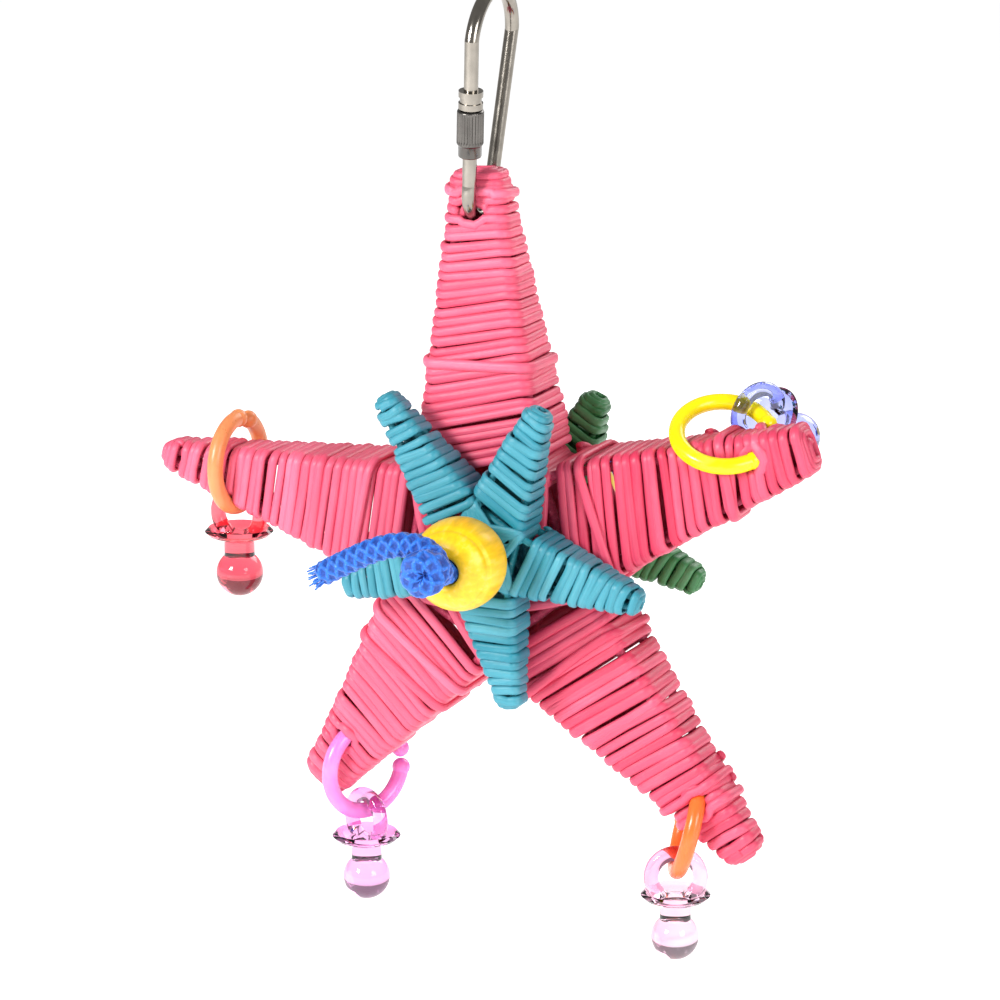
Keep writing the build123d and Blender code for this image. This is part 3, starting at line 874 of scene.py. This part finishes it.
class STARTOY_OT_stage(Operator):
    """Camera, soft lights, pale world and floor."""
    bl_idname = "startoy.stage"
    bl_label = "Stage"

    def execute(self, context):
        azimuth, elevation = math.radians(AZIMUTH), math.radians(ELEVATION)
        right = np.array([math.cos(azimuth), math.sin(azimuth), 0.0])
        lift = math.sin(elevation)
        up = np.array([-math.sin(azimuth) * lift, math.cos(azimuth) * lift, math.cos(elevation)])
        back = np.cross(right, up)
        target = right * AIM_RIGHT + up * AIM_UP
        eye = target + back * CAMERA_DISTANCE
        data = bpy.data.cameras.new("camera")
        data.sensor_width = SENSOR
        data.lens = SENSOR * CAMERA_DISTANCE / CAMERA_SPAN
        camera = bpy.data.objects.new("camera", data)
        matrix = np.eye(4)
        matrix[:3, 0], matrix[:3, 1], matrix[:3, 2], matrix[:3, 3] = right, up, back, eye
        camera.matrix_world = Matrix(matrix.tolist())
        context.scene.collection.objects.link(camera)
        context.scene.camera = camera
        world = bpy.data.worlds.new("world")
        world.use_nodes = True
        background = world.node_tree.nodes["Background"]
        background.inputs["Color"].default_value = (1.0, 1.0, 1.0, 1.0)
        seen = world.node_tree.nodes.new("ShaderNodeLightPath")
        level = world.node_tree.nodes.new("ShaderNodeMapRange")
        level.inputs["To Min"].default_value = 0.32
        level.inputs["To Max"].default_value = 1.0
        world.node_tree.links.new(seen.outputs["Is Camera Ray"], level.inputs["Value"])
        world.node_tree.links.new(level.outputs["Result"], background.inputs["Strength"])
        context.scene.world = world
        context.scene.view_settings.view_transform = "Standard"
        for name, place, size, power in LIGHTS:
            light = bpy.data.lights.new(name, "AREA")
            light.size = size
            light.energy = power
            lamp = bpy.data.objects.new(name, light)
            lamp.location = place
            aim = (Vector(LIGHT_AIM) - Vector(place)).to_track_quat("-Z", "Y")
            lamp.rotation_euler = aim.to_euler()
            context.scene.collection.objects.link(lamp)
        mesh = bpy.data.meshes.new("floor")
        s, z = FLOOR_HALF, FLOOR_Z
        mesh.from_pydata([(-s, -s, z), (s, -s, z), (s, s, z), (-s, s, z)], [], [(0, 1, 2, 3)])
        material, _, shader = new_material("pale floor")
        shader.inputs["Base Color"].default_value = (0.93, 0.93, 0.93, 1.0)
        shader.inputs["Roughness"].default_value = 0.9
        shader.inputs["Emission Color"].default_value = (1.0, 1.0, 1.0, 1.0)
        shader.inputs["Emission Strength"].default_value = 0.68
        mesh.materials.append(material)
        floor = bpy.data.objects.new("floor", mesh)
        context.scene.collection.objects.link(floor)
        return {"FINISHED"}


class STARTOY_OT_rope(Operator):
    """Two knotted rope ends and the rope's stretch inside the stars."""
    bl_idname = "startoy.rope"
    bl_label = "Rope"

    def execute(self, context):
        material = braid("blue braid", settings().colours.rope)
        for word, route, length in (("front", FRONT_ROUTE, 0.0616), ("back", BACK_ROUTE, 0.067)):
            path = smooth_route("route_" + word, route)
            builder = Builder()
            braided(builder, path * 1000, ROPE_R)
            rope_end = builder.make("rope_end_" + word, material)
            finish_piece(rope_end, "star", "rope_blue", "knot_" + word, "tail_" + word)
            fringe = Builder()
            frayed(fringe, path * 1000, ROPE_R, random_for("fringe" + word))
            threads = fringe.make("rope_threads_" + word, material)
            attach(threads, "star")
        middle = Builder()
        straight = np.array([(ROPE_X, -ROPE_HALF, ROPE_Z), (ROPE_X, ROPE_HALF, ROPE_Z)])
        braided(middle, even(straight, 1.0), ROPE_R)
        obj = middle.make("rope_middle", material)
        finish_piece(obj, "star", "rope_blue", "rope")
        return {"FINISHED"}


class STARTOY_OT_large_star(Operator):
    """The large star's five wound arms, the strands over its middle and its sticks."""
    bl_idname = "startoy.large_star"
    bl_label = "Large star"

    def execute(self, context):
        winding = settings().winding
        width, thick, pitch = winding.width * 1000, winding.thick * 1000, winding.pitch * 1000
        # the third colour is the dark end of the tone: uneven dye, and painted shade on the arms given a low
        # tone
        material = vine("pink vine", settings().colours.pink, (0.66, 0.34, 0.42))
        sticks = stick_material("pink stick", shade(settings().colours.pink, 0.8))
        give(sticks, "pink_frame_front", "pink_frame_back")
        obstacles = {name: [(ring_line(name), RING_WIRE_R + thick / 2 + STRAND_ROOM)] for name in RINGS}
        obstacles["top"] = [(link_foot_line(), LINK_WIRE_R + thick / 2 + STRAND_ROOM)]
        for k, name in enumerate(ARM_NAMES):
            rng = random_for(name)
            builder = Builder()
            step = pitch * SPACINGS[name]
            end = LARGE["lengths"][k] - LARGE_STOP
            # the arm's tone brings painted shade to the right-hand arms and painted light to the left-hand
            # ones
            wind_arm(builder, LARGE, k, LARGE_START, end, width * SPACINGS[name], thick, step, rng,
                     obstacles[name], ARM_SIDE_LIGHT_SHADE_TONES[name], SLANTS[name], winding.unevenness)
            for place, run in OVER_TURNS[name]:
                wind_arm(builder, LARGE, k, place, place + run, width, thick, run * 0.8, rng, obstacles[name],
                         ARM_SIDE_LIGHT_SHADE_TONES[name] + 0.1, 0.0, 0.3, thick * 0.75)
            close_tip(builder, LARGE, k, end, TIP_REACH[name], width * 0.9, thick, ARM_SIDE_LIGHT_SHADE_TONES[name])
            arm = builder.make("pink_winding_" + name, material)
            finish_piece(arm, "star", "vine_pink", "pink_wrap_" + name)
        rng = random_for("middle")
        builder = cross_strands(LARGE, width, thick, rng, 6, 2.3, 0.45)
        middle = builder.make("pink_crossing", material)
        finish_piece(middle, "star", "vine_pink", "pink_hub_front", "pink_hub_back")
        return {"FINISHED"}


class STARTOY_OT_small_stars(Operator):
    """The teal star in front and the green star behind."""
    bl_idname = "startoy.small_stars"
    bl_label = "Small stars"

    def execute(self, context):
        winding = settings().winding
        width, thick = winding.small_width * 1000, SMALL_THICK
        for star, colour, body in ((FRONT, "teal", "front_star"), (REAR, "green", "rear_star")):
            dye = getattr(settings().colours, colour)
            material = vine(colour + " vine", dye, (0.5, 0.62, 0.66))
            sticks = stick_material(colour + " stick", shade(dye, 0.8))
            give(sticks, colour + "_frame_front", colour + "_frame_back")
            for k in range(5):
                rng = random_for(colour + str(k))
                builder = Builder()
                end = star["lengths"][k] - SMALL_STOP
                wind_arm(builder, star, k, SMALL_START, end, width, thick, SMALL_PITCH, rng,
                         (), 0.45, 2.0, winding.unevenness)
                close_tip(builder, star, k, end, 1.6, width * 0.85, thick, 0.4, 2.2)
                arm = builder.make(f"{colour}_winding_{k + 1}", material)
                finish_piece(arm, body, "vine_" + colour, f"{colour}_wrap_{k + 1}")
            builder = cross_strands(star, width, thick, random_for(colour), 3, 2.0, 0.42)
            middle = builder.make(colour + "_crossing", material)
            finish_piece(middle, body, "vine_" + colour, colour + "_hub_front", colour + "_hub_back")
        return {"FINISHED"}


class STARTOY_OT_beads(Operator):
    """The two turned yellow beads."""
    bl_idname = "startoy.beads"
    bl_label = "Beads"

    def execute(self, context):
        material = painted_wood("yellow bead paint", settings().colours.bead)
        for word, body, way in (("front", "front_bead", -1.0), ("back", "rear_bead", 1.0)):
            builder = Builder()
            lathe(builder, (ROPE_X, way * BEAD_Y, ROPE_Z), (0.0, way, 0.0), bead_profile())
            bead = builder.make("turned_bead_" + word, material)
            finish_piece(bead, body, "bead_yellow", "bead_" + word)
        return {"FINISHED"}


class STARTOY_OT_hardware(Operator):
    """Finishes for the quick link, the rings and the clear charms."""
    bl_idname = "startoy.hardware"
    bl_label = "Link, rings and charms"

    def execute(self, context):
        # the wire's and the nut's colours sit far below nickel's own: the dark surroundings that the plate
        # mirrors are painted into them, as painted reflection
        give(nickel("nickel wire", (0.34, 0.31, 0.27), 0.16), "link_body")
        builder = Builder()
        fluted_nut(builder)
        nut = builder.make("fluted_nut", nickel("nickel nut", (0.15, 0.14, 0.13), 0.24))
        finish_piece(nut, "sleeve_nut", "nickel_nut", "link_nut")
        give(plastic("yellow ring", (0.95, 0.78, 0.0)), "ring_right")
        give(plastic("pale orange ring", (0.95, 0.35, 0.13), 0.3, 0.25, 0.5), "ring_left")
        give(plastic("pink ring", (0.90, 0.26, 0.70), 0.2, 0.1, 0.5), "ring_lower_left")
        give(plastic("orange ring", (0.95, 0.17, 0.03)), "ring_lower_right")
        give(clear("clear blue", (0.66, 0.69, 0.93), (0.26, 0.31, 0.82)), "charm_right")
        give(clear("clear red", (0.88, 0.16, 0.20), (0.76, 0.05, 0.09)), "charm_left")
        give(clear("clear magenta", (0.82, 0.44, 0.72), (0.82, 0.20, 0.56)), "charm_lower_left")
        give(clear("clear rose", (0.80, 0.60, 0.70), (0.90, 0.38, 0.58)), "charm_lower_right")
        return {"FINISHED"}


class STARTOY_PT_panel(Panel):
    """Lists the toy's operators."""
    bl_label = "Star toy"
    bl_idname = "STARTOY_PT_panel"
    bl_space_type = "VIEW_3D"
    bl_region_type = "UI"
    bl_category = "Star toy"

    def draw(self, context):
        for operator in OPERATORS:
            self.layout.operator(operator.bl_idname)
        for group in (settings().winding, settings().colours):
            for name in group.__annotations__:
                self.layout.prop(group, name)


OPERATORS = (
    STARTOY_OT_stage, STARTOY_OT_rope, STARTOY_OT_large_star, STARTOY_OT_small_stars, STARTOY_OT_beads,
    STARTOY_OT_hardware,
)
CLASSES = (StarToyWinding, StarToyColours, StarToySettings, *OPERATORS, STARTOY_PT_panel)


def register():
    for cls in CLASSES:
        bpy.utils.register_class(cls)
    bpy.types.Scene.star_toy = PointerProperty(type=StarToySettings)


def unregister():
    del bpy.types.Scene.star_toy
    for cls in reversed(CLASSES):
        bpy.utils.unregister_class(cls)


def main():
    register()
    bpy.ops.startoy.stage()
    bpy.ops.startoy.rope()
    bpy.ops.startoy.large_star()
    bpy.ops.startoy.small_stars()
    bpy.ops.startoy.beads()
    bpy.ops.startoy.hardware()


if __name__ == "__main__":
    main()
